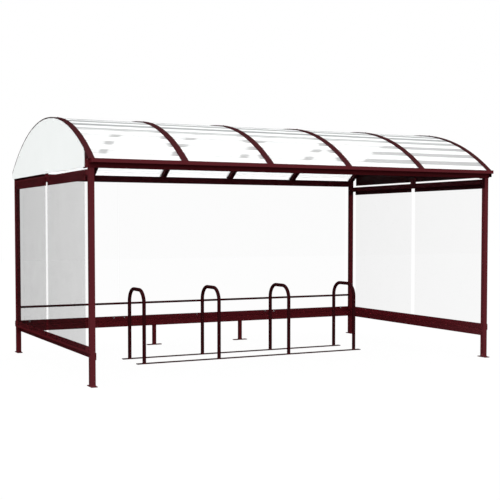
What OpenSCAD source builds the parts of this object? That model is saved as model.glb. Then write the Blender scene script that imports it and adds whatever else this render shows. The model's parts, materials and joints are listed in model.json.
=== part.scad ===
// Cycle shelter: three glazed walls, an open front and a barrel roof on arched hoops.
// The origin is on the ground in the middle of the plan. The open front faces -Y.

/* [Plan] */
// Length between the centre lines of the end posts
length_cc = 4400; // [3600:10:5600]
// Depth between the centre lines of the front and back posts
depth_cc = 2640; // [2200:10:3000]

/* [Posts and legs] */
// Width of a square corner post
post_w = 50; // [44:1:70]
// Corner radius of the box sections
corner_r = 4; // [1:0.5:8]
// Width of a square leg under the back rail
leg_w = 40; // [30:1:48]
// Distance of each back leg from the middle of the back wall
leg_x = 572; // [300:1:900]

/* [Base plates] */
// Thickness of the base plates
plate_t = 8; // [5:1:15]
// Base plate of a post, across the wall it stands in
post_plate_w = 56; // [52:1:90]
// Base plate of a post, along the end wall
post_plate_l = 130; // [116:1:180]
// Spacing of the two bolt holes beside a post
post_hole_pitch = 92; // [84:1:100]
// Base plate of a leg, across the back wall
leg_plate_w = 50; // [48:1:80]
// Base plate of a leg, along the back wall
leg_plate_l = 178; // [130:1:220]
// Spacing of the two bolt holes beside a leg
leg_hole_pitch = 124; // [80:1:140]
// Diameter of the anchor bolt holes
bolt_hole_d = 14; // [10:1:18]

/* [Rails] */
// Height of the foot of the bottom rails
bottom_rail_z = 237; // [150:1:400]
// Height of a bottom rail
bottom_rail_h = 120; // [90:1:160]
// Height of the step of a bottom rail above its foot
rail_step_h = 57; // [30:1:80]
// Thickness of the folded bottom rails, the head strips and the gable brackets
fold_t = 6; // [3:0.5:10]
// Height of the middle of the guard rail on the back wall
guard_rail_z = 509; // [420:1:900]
// Diameter of the guard rail
guard_rail_d = 25; // [16:1:40]
// Height of the top face of the end wall top rails
top_rail_z = 1916; // [1700:2:1924]
// Height of an end wall top rail section
top_rail_h = 56; // [40:1:90]

/* [Glazing] */
// Thickness of the wall and gable sheets
sheet_t = 5; // [3:0.5:8]
// Lap of the sheets over the upper flange of a bottom rail
sheet_lap = 40; // [20:1:50]
// Open gap between an end wall sheet and the post beside it
end_gap = 50; // [20:1:120]
// Open gap between the two sheets of an end wall
middle_gap = 70; // [10:1:100]
// Open gap between a back wall sheet and the post beside it
back_gap = 50; // [10:1:80]
// Open gap between two sheets of the back wall
joint_gap = 14; // [6:1:40]
// Width of the middle sheet of the back wall
middle_sheet_w = 1992; // [1200:4:2400]
// Height of the strips that carry the heads of the end wall sheets
end_strip_h = 80; // [60:1:95]
// How far these strips hang below the top rail
end_strip_drop = 41; // [10:1:50]
// Height of the strips that carry the heads of the back wall sheets
back_strip_h = 50; // [30:1:70]

/* [Eaves] */
// Height of the underside of the eaves beams
eaves_z = 1927; // [1926:1:2200]
// Height of an eaves beam section
beam_h = 70; // [70:1:100]
// How far a gutter reaches out past the posts
gutter_reach = 77; // [50:1:120]
// Height of the front lip of a gutter
gutter_lip_h = 35; // [32:1:60]
// How far the lip hangs below the gutter floor
gutter_drip = 26; // [2:1:30]
// Thickness of the gutter metal
gutter_t = 3; // [2:0.5:5]

/* [Roof] */
// Width of a roof hoop, along the shelter
hoop_w = 50; // [40:1:70]
// Depth of a roof hoop section, across the arc
hoop_depth = 45; // [30:1:70]
// Rise of the hoops above the eaves beams
hoop_rise = 476; // [300:1:900]
// How far the outer face of the hoops oversails the posts at the eaves
hoop_oversail = 25; // [5:1:40]
// How far the roof sheets and capping bars run on past the end hoops
roof_overhang = 6; // [5:1:40]
// Thickness of the roof sheets
roof_sheet_t = 4; // [3:0.5:8]
// Open joint between roof sheets over a hoop
roof_joint = 12; // [6:1:24]
// Height of the sheet ends above the gutter floor
sheet_end_gap = 7; // [2:1:20]
// Thickness of the capping bars over the sheet joints
capping_t = 8; // [3:0.5:10]
// Width of the capping bars over the inner hoops
capping_w = 66; // [40:1:90]
// Seating clearance of the curved sheets and capping bars
seat_clear = 0.3; // [0.1:0.1:0.8]

/* [Gables] */
// Distance of the cut upright edge of a gable sheet from the outer face of the posts
gable_cut = 102; // [60:1:400]
// How far the other upright edge of the sheet runs on past the posts
gable_reach = 40; // [5:1:60]
// Gap between the top rail and the gable sheet
gable_gap = 22; // [10:1:60]
// Width of the bracket at the foot of a gable sheet
bracket_w = 100; // [60:1:160]
// Lap of that bracket, and of the corner plates at the front, behind the gable sheet
bracket_lap = 45; // [20:1:80]
// Lap of that bracket over the outer face of the top rail
bracket_seat = 14; // [8:1:16]

/* [Cycle rack] */
// Distance of the middle of the rack to the right of the middle of the shelter
rack_x = 0; // [-200:5:200]
// Distance of the middle of the rack behind the middle of the shelter
rack_y = 32; // [-200:1:300]
// Spacing of the rack hoops
rack_pitch = 850; // [700:5:900]
// Spacing of the two legs of a rack hoop
rack_leg_cc = 430; // [380:5:600]
// Height of the rack
rack_h = 775; // [650:5:1000]
// Tube diameter of the rack hoops
rack_tube_d = 38; // [30:1:50]
// Bend radius of the rack hoops, at the middle of the tube
rack_bend_r = 140; // [80:5:180]
// Width of the flat floor rails
rack_rail_w = 50; // [44:1:80]
// Thickness of the floor rails
rack_rail_t = 8; // [5:1:12]
// How far the floor rails run on past the end hoops
rack_rail_run = 80; // [40:5:150]

/* [Hidden] */
$fn = 64;
arc_fn = 360;
bays = 5;
rack_hoops = 4;
steel_colour = "#5a2430";
sheet_colour = [0.93, 0.95, 0.95, 0.35];
gable_colour = "#eceeee";

half_l = length_cc / 2;
half_d = depth_cc / 2;
// Clear spaces between the faces of the posts
clear_l = length_cc - post_w;
clear_d = depth_cc - post_w;
beam_top = eaves_z + beam_h;
gutter_top = beam_top + gutter_t;
bottom_rail_top = bottom_rail_z + bottom_rail_h;
top_rail_base = top_rail_z - top_rail_h;
rail_step_z = bottom_rail_z + rail_step_h;
// Outer faces of the folded rails and strips, from the centre line of the posts
post_half = post_w / 2;
seat_out = post_half + fold_t;
sheet_out = seat_out + sheet_t / 2;
sheet_foot = bottom_rail_top - sheet_lap;
end_strip_z = top_rail_base - end_strip_drop;

// Roof arc through the crown and the oversailing eaves
hoop_half_span = half_d + post_half + hoop_oversail;
hoop_r = (hoop_half_span * hoop_half_span + hoop_rise * hoop_rise) / (2 * hoop_rise);
arc_z = beam_top + hoop_rise - hoop_r;
roof_sheet_r = hoop_r + seat_clear;
capping_r = roof_sheet_r + roof_sheet_t + seat_clear;
sheet_end_z = gutter_top + sheet_end_gap;
// Hoops from end to end, with the outer faces of the end hoops level with the head strips
hoop_face_x = half_l + seat_out;
roof_end_x = hoop_face_x + roof_overhang;
end_hoop_x = hoop_face_x - hoop_w / 2;
bay = 2 * end_hoop_x / bays;

// Upright edges of the gable sheets, from the middle of an end
gable_cut_y = half_d + post_half - gable_cut;
gable_full_y = half_d + post_half + gable_reach;

// Sheets of the walls
end_sheet_w = (clear_d - 2 * end_gap - middle_gap) / 2;
end_sheet_y = (middle_gap + end_sheet_w) / 2;
side_sheet_w = (clear_l - middle_sheet_w) / 2 - joint_gap - back_gap;
side_sheet_x = middle_sheet_w / 2 + joint_gap + side_sheet_w / 2;

// Rack
rack_first_x = rack_x - rack_pitch * (rack_hoops - 1) / 2;
rack_rail_l = rack_pitch * (rack_hoops - 1) + 2 * rack_rail_run;
rack_bend_z = rack_h - rack_tube_d / 2 - rack_bend_r;

// Section of a box tube, centred
module box_section(w, h) {
    square([w - 2 * corner_r, h], center = true);
    square([w, h - 2 * corner_r], center = true);
    for (x = [-1, 1], y = [-1, 1])
        translate([x * (w / 2 - corner_r), y * (h / 2 - corner_r)])
            circle(corner_r);
}

// Turns a section drawn in Y and Z so that it runs along X, from its middle
module run_x(l) {
    translate([-l / 2, 0, 0])
        rotate([90, 0, 90])
            linear_extrude(l)
                children();
}

// Turns a section drawn in X and Z so that it runs along Y, from its middle
module run_y(l) {
    translate([0, l / 2, 0])
        rotate([90, 0, 0])
            linear_extrude(l)
                children();
}

// Upright on a base plate with two bolt holes in line along X
module upright(w, top_z, plate_l, plate_w, hole_pitch) {
    difference() {
        union() {
            translate([0, 0, plate_t / 2])
                cube([plate_l, plate_w, plate_t], center = true);
            translate([0, 0, plate_t])
                linear_extrude(top_z - plate_t)
                    box_section(w, w);
        }
        for (x = [-1, 1])
            translate([x * hole_pitch / 2, 0, -plate_t])
                cylinder(d = bolt_hole_d, h = 3 * plate_t);
    }
}

module corner_post(x_side, y_side) {
    color(steel_colour)
        translate([x_side * half_l, y_side * half_d, 0])
            rotate([0, 0, 90])
                upright(post_w, eaves_z, post_plate_l, post_plate_w, post_hole_pitch);
}

module back_leg(side) {
    color(steel_colour)
        translate([side * leg_x, half_d, 0])
            upright(leg_w, rail_step_z, leg_plate_l, leg_plate_w, leg_hole_pitch);
}

// Inner flange of a stepped rail, with its foot at zero and the outside to the right
module inner_flange() {
    translate([-seat_out, 0])
        square([fold_t, rail_step_h + fold_t]);
}

// Outer flange of the same rail
module outer_flange() {
    translate([post_half, rail_step_h])
        square([fold_t, bottom_rail_h - rail_step_h]);
}

// Step that joins the two flanges
module rail_step() {
    translate([-seat_out, rail_step_h])
        square([2 * seat_out, fold_t]);
}

module back_bottom_rail() {
    inner_l = length_cc - 2 * seat_out;
    color(steel_colour)
        translate([0, half_d, bottom_rail_z]) {
            run_x(inner_l) {
                inner_flange();
                rail_step();
            }
            run_x(length_cc + post_w)
                outer_flange();
        }
}

// End rail: its flanges run on over the faces of the posts
module end_bottom_rail(side) {
    color(steel_colour)
        mirror([side < 0 ? 1 : 0, 0, 0])
            translate([half_l, 0, bottom_rail_z]) {
                run_y(clear_d)
                    rail_step();
                run_y(depth_cc + post_w) {
                    inner_flange();
                    outer_flange();
                }
            }
}

module back_guard_rail() {
    color(steel_colour)
        translate([0, half_d, guard_rail_z])
            run_x(clear_l)
                circle(d = guard_rail_d);
}

module eaves_beam(y_side) {
    color(steel_colour)
        translate([0, y_side * half_d, eaves_z + beam_h / 2])
            run_x(length_cc + post_w)
                box_section(post_w, beam_h);
}

module end_top_rail(side) {
    color(steel_colour)
        translate([side * half_l, 0, top_rail_z - top_rail_h / 2])
            run_y(clear_d)
                box_section(post_w, top_rail_h);
}

// Two flat strips on the outer face of an end top rail, one for each sheet
module end_head_strips(side) {
    middle_x = half_l + post_half + fold_t / 2;
    middle_z = end_strip_z + end_strip_h / 2;
    color(steel_colour)
        for (y = [-1, 1])
            translate([side * middle_x, y * end_sheet_y, middle_z])
                cube([fold_t, end_sheet_w, end_strip_h], center = true);
}

// Strip on the outer face of the back eaves beam over one sheet
module back_head_strip(x, w) {
    translate([x - w / 2, half_d + post_half, eaves_z])
        cube([w, fold_t, back_strip_h]);
}

module back_head_strips() {
    color(steel_colour) {
        for (x = [-1, 1])
            back_head_strip(x * side_sheet_x, side_sheet_w);
        back_head_strip(0, middle_sheet_w);
    }
}

// Gutter floor with its hanging lip, drawn for the back
module gutter_section() {
    inner_y = half_d - post_half;
    outer_y = half_d + post_half + gutter_reach;
    translate([inner_y, beam_top])
        square([outer_y - inner_y, gutter_t]);
    translate([outer_y - gutter_t, beam_top - gutter_drip])
        square([gutter_t, gutter_lip_h]);
}

// Plate that closes the end of a gutter beside the beam
module gutter_stop_section() {
    face_y = half_d + post_half;
    translate([face_y, beam_top - gutter_drip])
        square([gutter_reach, gutter_lip_h]);
}

module gutter(y_side) {
    end_x = (length_cc + post_w - gutter_t) / 2;
    color(steel_colour)
        mirror([0, y_side < 0 ? 1 : 0, 0]) {
            run_x(length_cc + post_w)
                gutter_section();
            for (x = [-1, 1])
                translate([x * end_x, 0, 0])
                    run_x(gutter_t)
                        gutter_stop_section();
        }
}

// Arched band of the roof between two radii, cut off level at its feet
module arched_section(inner_r, thickness, foot_z) {
    outer_r = inner_r + thickness;
    intersection() {
        translate([0, arc_z])
            difference() {
                circle(outer_r, $fn = arc_fn);
                circle(inner_r, $fn = arc_fn);
            }
        translate([-outer_r, foot_z])
            square([2 * outer_r, outer_r]);
    }
}

module roof_hoop(i) {
    color(steel_colour)
        translate([-end_hoop_x + (i - 1) * bay, 0, 0])
            run_x(hoop_w)
                arched_section(hoop_r - hoop_depth, hoop_depth, gutter_top);
}

// Roof sheet over one bay: the end bays run on past the end hoop
module roof_sheet(i) {
    left_x = i == 1 ? -roof_end_x : -end_hoop_x + (i - 1) * bay + roof_joint / 2;
    right_x = i == bays ? roof_end_x : -end_hoop_x + i * bay - roof_joint / 2;
    color(sheet_colour)
        translate([(left_x + right_x) / 2, 0, 0])
            run_x(right_x - left_x)
                arched_section(roof_sheet_r, roof_sheet_t, sheet_end_z);
}

// Capping bars over the hoops: the inner bars are wider, and the end bars run on to the sheet ends
module roof_capping_bars() {
    color(steel_colour)
        for (i = [0 : bays]) {
            hoop_x = -end_hoop_x + i * bay;
            left_x = i == 0 ? -roof_end_x : hoop_x - (i == bays ? hoop_w : capping_w) / 2;
            right_x = i == bays ? roof_end_x : hoop_x + (i == 0 ? hoop_w : capping_w) / 2;
            translate([(left_x + right_x) / 2, 0, 0])
                run_x(right_x - left_x)
                    arched_section(capping_r, capping_t, sheet_end_z);
        }
}

// Gable sheet: one cut for both ends, turned about, so its cut corner is at the front on the left
module gable_panel(side) {
    foot_z = top_rail_z + gable_gap;
    color(gable_colour)
        rotate([0, 0, side < 0 ? 0 : 180])
            translate([-hoop_face_x - sheet_t / 2, 0, 0])
                run_x(sheet_t)
                    intersection() {
                        translate([0, arc_z])
                            circle(hoop_r, $fn = arc_fn);
                        translate([-gable_cut_y, foot_z])
                            square([gable_cut_y + gable_full_y, hoop_r]);
                    }
}

// Plate at a front corner, from behind the gable sheet to the beam end and up to the hoop
module corner_plate_section() {
    inner_y = gable_cut_y - bracket_lap;
    outer_y = half_d + post_half;
    translate([-outer_y, eaves_z])
        square([outer_y - inner_y, beam_h]);
    intersection() {
        translate([0, arc_z])
            circle(hoop_r - hoop_depth - seat_clear, $fn = arc_fn);
        translate([-outer_y, eaves_z])
            square([outer_y - inner_y, hoop_rise]);
    }
}

// Brackets at the feet of the gable sheets, and the plates of the front corners
module gable_brackets() {
    bracket_h = bracket_seat + gable_gap + bracket_lap;
    bracket_z = top_rail_z - bracket_seat + bracket_h / 2;
    color(steel_colour)
        for (side = [-1, 1])
            translate([side * (half_l + post_half + fold_t / 2), 0, 0]) {
                translate([0, 0, bracket_z])
                    cube([fold_t, bracket_w, bracket_h], center = true);
                run_x(fold_t)
                    corner_plate_section();
            }
}

module back_panel(x, w) {
    head_z = eaves_z + back_strip_h;
    color(sheet_colour)
        translate([x, half_d + sheet_out, (sheet_foot + head_z) / 2])
            cube([w, sheet_t, head_z - sheet_foot], center = true);
}

module end_panel(x_side, y_side) {
    head_z = end_strip_z + end_strip_h;
    color(sheet_colour)
        translate([x_side * (half_l + sheet_out), y_side * end_sheet_y, (sheet_foot + head_z) / 2])
            cube([sheet_t, end_sheet_w, head_z - sheet_foot], center = true);
}

module rack_floor_rail(y_side) {
    color(steel_colour)
        translate([rack_x, rack_y + y_side * rack_leg_cc / 2, rack_rail_t / 2])
            cube([rack_rail_l, rack_rail_w, rack_rail_t], center = true);
}

// Bent tube: two legs, two quarter bends and a straight top
module rack_hoop(i) {
    leg_y = rack_leg_cc / 2;
    top_half = leg_y - rack_bend_r;
    color(steel_colour)
        translate([rack_first_x + (i - 1) * rack_pitch, rack_y, 0]) {
            for (y = [-1, 1]) {
                translate([0, y * leg_y, rack_rail_t])
                    cylinder(d = rack_tube_d, h = rack_bend_z - rack_rail_t);
                translate([0, y * top_half, rack_bend_z])
                    rotate([90, 0, y * 90])
                        rotate_extrude(angle = 90)
                            translate([rack_bend_r, 0])
                                circle(d = rack_tube_d);
            }
            translate([0, 0, rack_bend_z + rack_bend_r])
                run_y(2 * top_half)
                    circle(d = rack_tube_d);
        }
}

corner_post(-1, -1);  // front_left_post
corner_post(1, -1);  // front_right_post
corner_post(-1, 1);  // back_left_post
corner_post(1, 1);  // back_right_post
back_leg(-1);  // back_left_leg
back_leg(1);  // back_right_leg
back_bottom_rail();
end_bottom_rail(-1);  // left_bottom_rail
end_bottom_rail(1);  // right_bottom_rail
back_guard_rail();
eaves_beam(-1);  // front_eaves_beam
eaves_beam(1);  // back_eaves_beam
end_top_rail(-1);  // left_top_rail
end_top_rail(1);  // right_top_rail
end_head_strips(-1);  // left_head_strips
end_head_strips(1);  // right_head_strips
back_head_strips();
gutter(-1);  // front_gutter
gutter(1);  // back_gutter
for (i = [1 : bays + 1])
    roof_hoop(i);
for (i = [1 : bays])
    roof_sheet(i);
roof_capping_bars();
gable_panel(-1);  // left_gable_panel
gable_panel(1);  // right_gable_panel
gable_brackets();
back_panel(-side_sheet_x, side_sheet_w);  // back_panel_left
back_panel(0, middle_sheet_w);  // back_panel_middle
back_panel(side_sheet_x, side_sheet_w);  // back_panel_right
end_panel(-1, -1);  // left_panel_front
end_panel(-1, 1);  // left_panel_back
end_panel(1, -1);  // right_panel_front
end_panel(1, 1);  // right_panel_back
rack_floor_rail(-1);  // rack_front_floor_rail
rack_floor_rail(1);  // rack_back_floor_rail
for (i = [1 : rack_hoops])
    rack_hoop(i);
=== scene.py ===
"""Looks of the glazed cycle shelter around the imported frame.

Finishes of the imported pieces, then small fixings, welds and clips, then floor, light and camera.
"""
import json
import math

import bmesh
import bpy
from mathutils import Matrix, Vector


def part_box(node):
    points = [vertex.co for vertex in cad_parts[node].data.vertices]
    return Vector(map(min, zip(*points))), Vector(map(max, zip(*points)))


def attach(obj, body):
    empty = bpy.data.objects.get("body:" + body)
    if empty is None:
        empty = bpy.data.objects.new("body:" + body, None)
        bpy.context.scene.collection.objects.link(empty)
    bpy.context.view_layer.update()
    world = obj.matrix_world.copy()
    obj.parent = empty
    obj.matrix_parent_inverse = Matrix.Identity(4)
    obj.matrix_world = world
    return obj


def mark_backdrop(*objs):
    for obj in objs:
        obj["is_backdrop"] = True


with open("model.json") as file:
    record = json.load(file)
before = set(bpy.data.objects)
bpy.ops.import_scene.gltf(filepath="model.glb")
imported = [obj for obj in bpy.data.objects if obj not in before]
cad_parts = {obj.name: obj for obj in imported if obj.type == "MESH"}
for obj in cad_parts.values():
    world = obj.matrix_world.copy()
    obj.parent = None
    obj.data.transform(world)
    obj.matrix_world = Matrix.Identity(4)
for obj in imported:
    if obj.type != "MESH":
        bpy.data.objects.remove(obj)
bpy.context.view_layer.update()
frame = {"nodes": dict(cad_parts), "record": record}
nodes = frame["nodes"]
MM = 0.001

# Colours, as sRGB
WINE = "#400d12"
WINE_LIGHT = "#471015"
WINE_FRONT_PAINTED_LIGHT = "#4e1b20"
WINE_ENDS_PAINTED_LIGHT = "#4e1117"
WINE_ROOF_PAINTED_SHADE = "#391418"
WINE_PAINTED_SHADE = "#2a080c"
RACK_PAINTED_SHADE = "#28080b"
RACK_PAINTED_SHADE_PALER = "#310b0f"
GABLE_INNER_PAINTED_SHADE = "#1a0607"
ROAD_DUST = "#4d4341"
SHEET_GREY = "#060707"
SHEET_SMEAR = "#0b0d0d"
FLUTE_WHITE = "#fcfdfd"
FLUTE_FILM = "#f8f9f9"
CROWN_PAINTED_SHADE = "#b8baba"
GABLE_PALE = "#edf0ef"
GABLE_CHALK = "#e7eae9"
STAINLESS = "#c9cbcc"
STAINLESS_BRIGHT = "#e4e6e7"
STUDIO_WHITE = "#ffffff"
FLOOR_SHADE = "#272727"

# Roof arc, worked out from the first hoop: its crown and the outer corner of its foot
ROOF_HOOPS, RACK_HOOPS = 6, 4
HOOP_DEPTH = 45 * MM
hoop_low, hoop_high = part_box("roof_hoop_1")
hoop_rise = hoop_high.z - hoop_low.z
ARC_R = (hoop_rise ** 2 + hoop_high.y ** 2) / (2 * hoop_rise)
ARC_Z = hoop_high.z - ARC_R

# Painted light and shade in the paint: painted light on the open front below the eaves, the lip of the front
# gutter, and the outer faces of the ends. Painted shade makes the bars over the roof deeper, and the inner
# faces under the roof take the deepest painted shade
FRONT_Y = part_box("front_left_post")[0].y
FRONT_PAINTED_LIGHT_FROM_Y = -0.2
EAVES_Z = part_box("front_eaves_beam")[0].z
LIP_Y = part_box("front_gutter")[0].y + 4 * MM
END_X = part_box("right_bottom_rail")[1].x - 5 * MM
ROOF_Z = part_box("front_gutter")[1].z
HEAD_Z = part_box("left_head_strips")[0].z


# Nodes of the materials

def linear(hex_colour):
    """sRGB hex colour as linear RGBA."""
    channels = [int(hex_colour[i:i + 2], 16) / 255 for i in (1, 3, 5)]
    return [c / 12.92 if c <= 0.04045 else ((c + 0.055) / 1.055) ** 2.4 for c in channels] + [1.0]


def add(tree, kind, inputs=None, **settings):
    """Adds a node. An input is a value, or a (node, output) pair to link."""
    node = tree.nodes.new(kind)
    for name, value in settings.items():
        setattr(node, name, value)
    for socket, value in (inputs or {}).items():
        if isinstance(value, tuple):
            tree.links.new(value[0].outputs[value[1]], node.inputs[socket])
        else:
            node.inputs[socket].default_value = value
    return node


# Each of the next five returns a (node, output) pair that another node can take

def maths(tree, operation, *values, clamp=False):
    """Number worked out from one, two or three numbers."""
    return add(tree, "ShaderNodeMath", dict(enumerate(values)), operation=operation, use_clamp=clamp), 0


def ranged(tree, value, low, high, start=0.0, end=1.0):
    """Number that goes from low to high as the value goes from start to end, and stops there."""
    return add(tree, "ShaderNodeMapRange", {"Value": value, "From Min": start, "From Max": end,
                                            "To Min": low, "To Max": high}), 0


def either(tree, share, first, second):
    """Number between the first and the second."""
    return add(tree, "ShaderNodeMix", {0: share, 2: first, 3: second}, data_type="FLOAT"), 0


def blend(tree, share, first, second):
    """Colour between the first and the second."""
    return add(tree, "ShaderNodeMix", {0: share, 6: first, 7: second}, data_type="RGBA"), 2


def clouds(tree, place, size_mm, detail):
    """Cloudy pattern of this size."""
    return add(tree, "ShaderNodeTexNoise", {"Vector": (place, "Object"), "Scale": 1 / (size_mm * MM),
                                            "Detail": detail}), 0


def start_material(name):
    """New material with an empty tree and its texture coordinates."""
    material = bpy.data.materials.new(name)
    material.use_nodes = True
    tree = material.node_tree
    tree.nodes.clear()
    return material, tree, add(tree, "ShaderNodeTexCoord")


def end_material(material, tree, inputs):
    """Principled shader with these inputs on the output."""
    shader = add(tree, "ShaderNodeBsdfPrincipled", inputs)
    add(tree, "ShaderNodeOutputMaterial", {"Surface": (shader, 0)})
    return material


# Materials

FAINT_GLOSS = 0.02             # specular level of the paint, the wall sheets and the gable sheets
POLYCARBONATE_IOR = 1.58


def powder_coated_steel(name, deep_tone, light_tone):
    # Polyester powder baked on steel: an even satin film with a fine orange-peel skin, slightly uneven
    # in depth of colour, with painted light on the open front and on the outer faces of the ends, painted
    # shade over the roof and on the inner faces under it, and dusty on the lowest few centimetres
    cloud_mm, end_fade_mm, dust_top_mm, dust_share = 260, 15, 70, 0.05
    satin_low, satin_high, inward = 0.40, 0.52, -0.5
    # The real peel is about 2 mm across, too fine to show, so it is drawn coarser
    peel_mm, peel_depth_mm, peel_strength = 7, 0.3, 0.12
    material, tree, place = start_material(name)
    at = add(tree, "ShaderNodeSeparateXYZ", {0: (place, "Object")})

    cloud = clouds(tree, place, cloud_mm, 4.0)
    fresh = blend(tree, cloud, linear(deep_tone), linear(light_tone))

    # Painted shade over the roof: deeper wine, against the strong overhead light
    roof = maths(tree, "GREATER_THAN", (at, "Z"), ROOF_Z)
    body = blend(tree, roof, fresh, linear(WINE_ROOF_PAINTED_SHADE))

    # Painted light on the outer faces of the ends
    end = maths(tree, "ABSOLUTE", (at, "X"))
    outer = ranged(tree, end, 0.0, 1.0, start=END_X - end_fade_mm * MM, end=END_X)
    ends_painted_light = maths(tree, "SUBTRACT", outer, roof, clamp=True)
    ends = blend(tree, ends_painted_light, body, linear(WINE_ENDS_PAINTED_LIGHT))

    # Painted light on the open front and gutter lip
    front = ranged(tree, (at, "Y"), 0.0, 1.0, start=FRONT_PAINTED_LIGHT_FROM_Y, end=FRONT_Y)
    under = maths(tree, "LESS_THAN", (at, "Z"), EAVES_Z)
    lip = maths(tree, "LESS_THAN", (at, "Y"), LIP_Y)
    lit_front_parts = maths(tree, "MAXIMUM", under, lip)
    front_painted_light = maths(tree, "MULTIPLY", front, lit_front_parts)
    tone = blend(tree, front_painted_light, ends, linear(WINE_FRONT_PAINTED_LIGHT))

    # Painted shade on the inner faces under the roof
    level = add(tree, "ShaderNodeVectorMath", {0: (place, "Object"), 1: [1, 1, 0]}, operation="MULTIPLY")
    outward = add(tree, "ShaderNodeVectorMath", {0: (level, 0), 1: (place, "Normal")},
                  operation="DOT_PRODUCT")
    inner = maths(tree, "LESS_THAN", (outward, "Value"), inward)
    high = maths(tree, "GREATER_THAN", (at, "Z"), HEAD_Z)
    inner_painted_shade = maths(tree, "MULTIPLY", inner, high)
    with_painted_shade = blend(tree, inner_painted_shade, tone, linear(WINE_PAINTED_SHADE))

    dust = ranged(tree, (at, "Z"), dust_share, 0.0, end=dust_top_mm * MM)
    colour = blend(tree, dust, with_painted_shade, linear(ROAD_DUST))
    satin = ranged(tree, cloud, satin_low, satin_high)
    peel = clouds(tree, place, peel_mm, 2.0)
    skin = add(tree, "ShaderNodeBump", {"Height": peel, "Strength": peel_strength,
                                        "Distance": peel_depth_mm * MM})
    return end_material(material, tree, {"Base Color": colour, "Roughness": satin,
                                         "Specular IOR Level": FAINT_GLOSS, "Normal": (skin, 0)})


def clear_polycarbonate():
    # Extruded clear sheet: all but invisible face on, and the more grey the flatter it is seen,
    # with a faint haze of wiping marks
    wipe_mm, face_on, edge_on, steepness = 180, 0.014, 0.53, 3.0
    haze_low, haze_high, smear_low, smear_high = 0.03, 0.12, 0.92, 1.08
    material, tree, place = start_material("clear_polycarbonate")
    wipe = clouds(tree, place, wipe_mm, 5.0)
    haze = ranged(tree, wipe, haze_low, haze_high)
    smear = ranged(tree, wipe, smear_low, smear_high)
    tint = blend(tree, wipe, linear(SHEET_GREY), linear(SHEET_SMEAR))
    flatness = add(tree, "ShaderNodeLayerWeight", {"Blend": 0.5})
    rise = maths(tree, "POWER", (flatness, "Facing"), steepness)
    cast = maths(tree, "MULTIPLY_ADD", rise, edge_on, face_on)
    cover = maths(tree, "MULTIPLY", cast, smear)
    return end_material(material, tree, {"Base Color": tint, "Roughness": haze, "IOR": POLYCARBONATE_IOR,
                                         "Specular IOR Level": FAINT_GLOSS, "Alpha": cover})


def fluted_polycarbonate():
    # Extruded roof sheet with flutes along the shelter: milky bands that let light through, and clearer
    # bands between them where dark things behind show faintly. On the flat crown the clearer bands go near
    # opaque and grey, painted shade standing in for the shaded vault behind them
    flute_mm, offset, clear_share, edge = 165, 0.164, 0.5, 0.04
    crown_mm, crown_fade_mm, film_mm = 815, 80, 240
    clear_cover, crown_shade_cover, milky = 0.41, 0.95, 0.62
    gloss_low, gloss_high, sheen = 0.18, 0.32, 0.25
    material, tree, place = start_material("fluted_polycarbonate")
    at = add(tree, "ShaderNodeSeparateXYZ", {0: (place, "Object")})

    # Bands round the arc: 1 in the middle of a clear band and 0 in a milky one
    above = maths(tree, "SUBTRACT", (at, "Z"), ARC_Z)
    turn = maths(tree, "ARCTAN2", (at, "Y"), above)
    flutes = maths(tree, "MULTIPLY_ADD", turn, ARC_R / (flute_mm * MM), offset)
    share = maths(tree, "PINGPONG", flutes, 0.5)
    band = ranged(tree, share, 1.0, 0.0, start=clear_share / 2 - edge, end=clear_share / 2 + edge)

    # Painted shade on the outer face of the crown, in the clearer bands
    out = maths(tree, "ABSOLUTE", turn)
    flat = ranged(tree, out, 1.0, 0.0, start=crown_mm * MM / ARC_R,
                  end=(crown_mm + crown_fade_mm) * MM / ARC_R)
    facing = add(tree, "ShaderNodeSeparateXYZ", {0: (place, "Normal")})
    top = maths(tree, "GREATER_THAN", (facing, "Z"), 0.0)
    crown = maths(tree, "MULTIPLY", flat, top)
    crown_shade_share = maths(tree, "MULTIPLY", crown, band)

    thin = ranged(tree, crown, clear_cover, crown_shade_cover)
    cover = either(tree, band, 1.0, thin)
    film = clouds(tree, place, film_mm, 4.0)
    white = blend(tree, film, linear(FLUTE_WHITE), linear(FLUTE_FILM))
    tint = blend(tree, crown_shade_share, white, linear(CROWN_PAINTED_SHADE))
    gloss = ranged(tree, film, gloss_low, gloss_high)
    skin = add(tree, "ShaderNodeBsdfPrincipled", {"Base Color": tint, "Roughness": gloss,
                                                  "IOR": POLYCARBONATE_IOR, "Specular IOR Level": sheen})
    glow = add(tree, "ShaderNodeBsdfTranslucent", {"Color": tint})
    body = add(tree, "ShaderNodeMixShader", {0: milky, 1: (skin, 0), 2: (glow, 0)})
    gap = add(tree, "ShaderNodeBsdfTransparent")
    sheet = add(tree, "ShaderNodeMixShader", {0: cover, 1: (gap, 0), 2: (body, 0)})
    add(tree, "ShaderNodeOutputMaterial", {"Surface": (sheet, 0)})
    return material


def gable_sheet():
    # Coated sheet: pale and smooth on the outside, and near-black wine on the inside, which is painted shade
    cloud_mm, gloss_low, gloss_high, inward = 400, 0.32, 0.42, -0.5
    material, tree, place = start_material("coated_gable_sheet")
    at = add(tree, "ShaderNodeSeparateXYZ", {0: (place, "Object")})
    facing = add(tree, "ShaderNodeSeparateXYZ", {0: (place, "Normal")})
    side = maths(tree, "MULTIPLY", (at, "X"), (facing, "X"))
    outside = maths(tree, "GREATER_THAN", side, inward)
    cloud = clouds(tree, place, cloud_mm, 3.0)
    pale = blend(tree, cloud, linear(GABLE_PALE), linear(GABLE_CHALK))
    # Painted shade: the inner face is near-black wine
    colour = blend(tree, outside, linear(GABLE_INNER_PAINTED_SHADE), pale)
    gloss = ranged(tree, cloud, gloss_low, gloss_high)
    return end_material(material, tree, {"Base Color": colour, "Roughness": gloss,
                                         "Specular IOR Level": FAINT_GLOSS})


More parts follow.
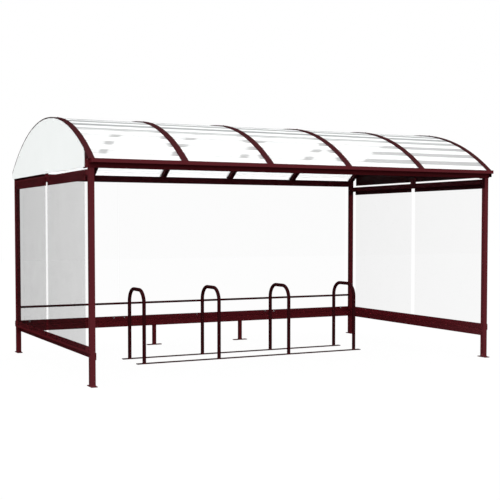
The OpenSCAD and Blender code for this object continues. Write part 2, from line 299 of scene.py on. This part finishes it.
def stainless_steel():
    # Turned stainless nut: bright metal with fine lathe and handling marks
    mark_mm, rough, rough_spread = 4, 0.30, 0.08
    material, tree, place = start_material("stainless_steel")
    marks = clouds(tree, place, mark_mm, 3.0)
    worn = ranged(tree, marks, rough - rough_spread, rough + rough_spread)
    tone = blend(tree, marks, linear(STAINLESS), linear(STAINLESS_BRIGHT))
    return end_material(material, tree, {"Base Color": tone, "Roughness": worn, "Metallic": 1.0})


STEEL_FINISH = powder_coated_steel("powder_coated_steel", WINE, WINE_LIGHT)
# Painted shade: the rack and the guard rail under the roof get deeper wine
RACK_PAINTED_SHADE_FINISH = powder_coated_steel("powder_coated_rack_steel_painted_shade", RACK_PAINTED_SHADE, RACK_PAINTED_SHADE_PALER)
# Painted shade: the roof hoops are deep wine all over
HOOP_PAINTED_SHADE_FINISH = powder_coated_steel("powder_coated_hoop_steel_painted_shade", WINE_PAINTED_SHADE, WINE_PAINTED_SHADE)
FINISHES = {"wine_steel": STEEL_FINISH, "wall_glazing": clear_polycarbonate(),
            "roof_glazing": fluted_polycarbonate(), "gable_sheet": gable_sheet()}
NUT_FINISH = stainless_steel()


def finish_packed_pieces():
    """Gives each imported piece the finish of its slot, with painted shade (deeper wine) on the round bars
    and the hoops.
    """
    for part in frame["record"]["subparts"]:
        name = part["node"]
        finish = FINISHES[part["material_slot"]]
        if name.startswith("rack_") or name == "back_guard_rail":
            finish = RACK_PAINTED_SHADE_FINISH
        elif name.startswith("roof_hoop"):
            finish = HOOP_PAINTED_SHADE_FINISH
        materials = nodes[name].data.materials
        materials.clear()
        materials.append(finish)


finish_packed_pieces()


# Shapes

# Dome of a screw head: shares of its radius, and of its height down from the top
DOME = ((0, 0), (0.5, 0.12), (0.86, 0.45))
MERGE_M = 1e-6


def keep(name, shape, finish):
    """Makes a bmesh a piece of the shelter with this finish."""
    bmesh.ops.recalc_face_normals(shape, faces=shape.faces)
    mesh = bpy.data.meshes.new(name)
    shape.to_mesh(mesh)
    shape.free()
    mesh.materials.append(finish)
    piece = bpy.data.objects.new(name, mesh)
    bpy.context.scene.collection.objects.link(piece)
    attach(piece, "root")
    return piece


def turned(profile, steps=16):
    """Spins (radius, height) points round Z. The first lies on the axis and the last on the seat."""
    shape = bmesh.new()
    points = [shape.verts.new((radius, 0, height)) for radius, height in profile]
    edges = [shape.edges.new(pair) for pair in zip(points, points[1:])]
    bmesh.ops.spin(shape, geom=points + edges, axis=(0, 0, 1), cent=(0, 0, 0),
                   angle=2 * math.pi, steps=steps, use_merge=True)
    bmesh.ops.remove_doubles(shape, verts=shape.verts, dist=MERGE_M)
    return shape


def repeated(unit, places):
    """Copies of a unit shape. Each place is a point and the direction that the unit's Z turns to."""
    mesh = bpy.data.meshes.new("unit")
    unit.to_mesh(mesh)
    unit.free()
    shape = bmesh.new()
    for point, direction in places:
        first = len(shape.verts)
        shape.from_mesh(mesh)
        shape.verts.ensure_lookup_table()
        turn = Vector((0, 0, 1)).rotation_difference(Vector(direction)).to_matrix().to_4x4()
        bmesh.ops.transform(shape, matrix=Matrix.Translation(point) @ turn, verts=shape.verts[first:])
    bpy.data.meshes.remove(mesh)
    return shape


def dome_screws(name, places, finish, head_r, head_h, washer_r, washer_h):
    """Dome heads on washers, each standing on its place."""
    top = washer_h + head_h
    profile = [(head_r * out, top - head_h * down) for out, down in DOME]
    profile += [(head_r, washer_h), (washer_r, washer_h), (washer_r, 0)]
    return keep(name, repeated(turned(profile), places), finish)


def weld_collar(shape, centre, half, leg):
    """Fillet weld round the foot of a square section: wide below and closing in to the section above."""
    for vert in bmesh.ops.create_cube(shape, size=1.0)["verts"]:
        low = vert.co.z < 0
        reach = half + (leg if low else 0)
        vert.co = Vector((math.copysign(reach, vert.co.x), math.copysign(reach, vert.co.y),
                          0 if low else leg)) + centre


# Fixings of the sheets

EDGE_IN = 58 * MM          # fixings from the upright edges of a sheet
FOOT_UP = 23 * MM          # fixings above the foot of a sheet
HEAD_DOWN = 22 * MM        # fixings below the head of a sheet
WIDE_SHEET = 1500 * MM     # a wider sheet also has fixings at its middle


def sheet_screws(name, places, finish):
    """Screws or cap nuts of a sheet."""
    return dome_screws(name, places, finish, head_r=7 * MM, head_h=4 * MM, washer_r=11 * MM,
                       washer_h=1.5 * MM)


def wall_point(along, run, depth, z):
    """Point on a wall that runs along X (0) or Y (1)."""
    return Vector((depth, run, z) if along else (run, depth, z))


def wall_sheet_fixings():
    """Painted screws along the foot and head of each wall sheet, with cap nuts inside the bottom rail.

    The nuts are bare on the back wall and painted on the ends.
    """
    strip_low, strip_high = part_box("left_head_strips")
    rail_t = strip_high.x - strip_low.x
    for sheet in (name for name in nodes if "_panel_" in name):
        low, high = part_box(sheet)
        along = 0 if sheet.startswith("back") else 1
        across = 1 - along
        out = 1 if low[across] > 0 else -1
        outer = high[across] if out > 0 else low[across]
        inner = (low[across] if out > 0 else high[across]) - out * rail_t
        outward = wall_point(along, 0, out, 0)
        runs = [low[along] + EDGE_IN, high[along] - EDGE_IN]
        if high[along] - low[along] > WIDE_SHEET:
            runs.append((low[along] + high[along]) / 2)
        foot, head = low.z + FOOT_UP, high.z - HEAD_DOWN
        heads = [(wall_point(along, run, outer, z), outward) for run in runs for z in (foot, head)]
        nuts = [(wall_point(along, run, inner, foot), -outward) for run in runs]
        sheet_screws(sheet + "_screws", heads, STEEL_FINISH)
        sheet_screws(sheet + "_nuts", nuts, STEEL_FINISH if along else NUT_FINISH)


def gable_fixings():
    """Screws round the arc of each gable sheet into the end hoop, and into its bracket."""
    arc_step, arcs, bracket_out = math.radians(7.2), 4, 30 * MM
    line_r = ARC_R - HOOP_DEPTH / 2
    for side, sheet in ((-1, "left_gable_panel"), (1, "right_gable_panel")):
        low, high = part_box(sheet)
        face = high.x if side > 0 else low.x
        angles = [i * arc_step for i in range(-arcs, arcs + 1)]
        points = [Vector((face, line_r * math.sin(a), ARC_Z + line_r * math.cos(a))) for a in angles]
        points += [Vector((face, y, low.z + FOOT_UP)) for y in (-bracket_out, bracket_out)]
        places = [(point, Vector((side, 0, 0))) for point in points]
        sheet_screws(sheet + "_screws", places, FINISHES["gable_sheet"])


wall_sheet_fixings()
gable_fixings()


# Bolts, welds and clips of the frame

def rail_bolts():
    """Dome-head bolts that hold the flanges of the bottom rails to the posts."""
    flange_in = 30 * MM
    places = []
    for x_side, end in ((-1, "left"), (1, "right")):
        low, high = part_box(end + "_bottom_rail")
        outer = high.x if x_side > 0 else low.x
        inner = low.x if x_side > 0 else high.x
        for row in ("front", "back"):
            post_low, post_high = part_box(f"{row}_{end}_post")
            y = (post_low.y + post_high.y) / 2
            places.append((Vector((outer, y, high.z - flange_in)), Vector((x_side, 0, 0))))
            places.append((Vector((inner, y, low.z + flange_in)), Vector((-x_side, 0, 0))))
    dome_screws("rail_bolts", places, STEEL_FINISH, head_r=8 * MM, head_h=6 * MM, washer_r=12 * MM,
                washer_h=2 * MM)


def foot_welds():
    """Fillet welds where the posts, the legs and the rack tubes stand on their plates and rails."""
    plate_t, leg, post_half, leg_half = 8 * MM, 5 * MM, 25 * MM, 20 * MM
    shape = bmesh.new()
    for mount in frame["record"]["mounts"]:
        if mount["kind"] == "bolt_pattern":
            half = leg_half if "leg" in mount["name"] else post_half
            weld_collar(shape, Vector(mount["pos_m"]) + Vector((0, 0, plate_t)), half, leg)
    for i in range(1, RACK_HOOPS + 1):
        low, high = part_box(f"rack_hoop_{i}")
        tube_r = (high.x - low.x) / 2
        for y in (low.y + tube_r, high.y - tube_r):
            bmesh.ops.create_cone(shape, cap_ends=True, segments=24, radius1=tube_r + leg,
                                  radius2=tube_r, depth=leg,
                                  matrix=Matrix.Translation(((low.x + high.x) / 2, y, low.z + leg / 2)))
    keep("foot_welds", shape, STEEL_FINISH)


def sheet_end_clips():
    """Thin clips over the ends of the roof sheets at the two feet where the gable sheets are cut away."""
    clip_t, hang, steps = 1 * MM, 3 * MM, 12
    bars_low, bars_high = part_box("roof_capping_bars")
    inner_r, outer_r = ARC_R - hang, bars_high.z - ARC_Z - clip_t
    end_x, clip_x = bars_high.x, bars_high.x + clip_t
    section = ((end_x, inner_r), (clip_x, inner_r), (clip_x, outer_r), (end_x, outer_r))
    foot = math.acos((bars_low.z - ARC_Z) / ARC_R)
    cut = math.asin(-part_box("left_gable_panel")[0].y / ARC_R)
    shape = bmesh.new()
    for side in (-1, 1):
        rings = []
        for step in range(steps + 1):
            a = foot + (cut - foot) * step / steps
            rings.append([shape.verts.new((side * x, side * r * math.sin(a), ARC_Z + r * math.cos(a)))
                          for x, r in section])
        for ring, after in zip(rings, rings[1:]):
            for k in range(len(section)):
                shape.faces.new((ring[k], ring[k - 1], after[k - 1], after[k]))
        for ring in (rings[0], rings[-1]):
            shape.faces.new(ring)
    # The clips take the hoops' finish, with its painted shade
    keep("sheet_end_clips", shape, HOOP_PAINTED_SHADE_FINISH)


def capping_bolts():
    """Dome-head bolts along each capping bar over the roof hoops."""
    bolts, spread = 9, math.radians(34)
    bar_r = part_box("roof_capping_bars")[1].z - ARC_Z
    places = []
    for i in range(1, ROOF_HOOPS + 1):
        low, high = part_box(f"roof_hoop_{i}")
        centre = Vector(((low.x + high.x) / 2, 0, ARC_Z))
        for k in range(bolts):
            a = spread * (2 * k / (bolts - 1) - 1)
            outward = Vector((0, math.sin(a), math.cos(a)))
            places.append((centre + outward * bar_r, outward))
    dome_screws("capping_bolts", places, STEEL_FINISH, head_r=6 * MM, head_h=3.5 * MM, washer_r=9 * MM,
                washer_h=1.2 * MM)


rail_bolts()
foot_welds()
sheet_end_clips()
capping_bolts()


# Stage, light and camera

def white_floor():
    """Plain white floor that the camera sees, with only a trace of contact shadow."""
    span, glow = 60.0, 0.965
    shape = bmesh.new()
    bmesh.ops.create_grid(shape, x_segments=1, y_segments=1, size=span / 2)
    mesh = bpy.data.meshes.new("floor")
    shape.to_mesh(mesh)
    shape.free()
    material, tree, _ = start_material("white_floor")
    mesh.materials.append(end_material(material, tree, {
        "Base Color": linear(FLOOR_SHADE), "Roughness": 1.0, "Specular IOR Level": 0.0,
        "Emission Color": linear(STUDIO_WHITE), "Emission Strength": glow}))
    floor = bpy.data.objects.new("floor", mesh)
    bpy.context.scene.collection.objects.link(floor)
    floor.visible_diffuse = False
    floor.visible_glossy = False
    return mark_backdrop(floor)


def studio_light():
    """White backdrop for the eye. The soft light comes from all sides, most from the front and overhead."""
    ambient, front_light, overhead, ground, mirrored = 1.56, 0.6, 2.0, 0.12, 0.04
    ground_from, overhead_from, overhead_full = -0.2, 0.75, 0.9
    world = bpy.data.worlds.new("studio")
    bpy.context.scene.world = world
    world.use_nodes = True
    tree = world.node_tree
    tree.nodes.clear()
    place = add(tree, "ShaderNodeTexCoord")
    way = add(tree, "ShaderNodeSeparateXYZ", {0: (place, "Generated")})
    front = ranged(tree, (way, "Y"), ambient, ambient + front_light, end=-1.0)
    below = ranged(tree, (way, "Z"), ground, 1.0, start=ground_from, end=0.0)
    above = ranged(tree, (way, "Z"), 0.0, overhead, start=overhead_from, end=overhead_full)
    sides = maths(tree, "MULTIPLY", front, below)
    level = maths(tree, "ADD", sides, above)
    path = add(tree, "ShaderNodeLightPath")
    shine = ranged(tree, (path, "Is Glossy Ray"), 1.0, mirrored)
    light = maths(tree, "MULTIPLY", level, shine)
    strength = either(tree, (path, "Is Camera Ray"), light, 1.0)
    backdrop = add(tree, "ShaderNodeBackground", {"Color": linear(STUDIO_WHITE), "Strength": strength})
    add(tree, "ShaderNodeOutputWorld", {"Surface": (backdrop, 0)})


def photo_camera():
    """Camera that was fitted to the photograph, with the off-centre frame that it shows."""
    place_m, turn_deg = (-4.9019, -9.6567, 1.4198), (87.524, 0.022, -26.557)
    lens = bpy.data.cameras.new("camera")
    lens.lens, lens.sensor_width = 71.09, 36.0
    lens.shift_x, lens.shift_y = 0.0186, 0.0367
    lens.clip_end = 200.0
    camera = bpy.data.objects.new("camera", lens)
    camera.location = place_m
    camera.rotation_euler = [math.radians(angle) for angle in turn_deg]
    bpy.context.scene.collection.objects.link(camera)
    bpy.context.scene.camera = camera


white_floor()
studio_light()
photo_camera()
bpy.context.scene.view_settings.view_transform = "Standard"
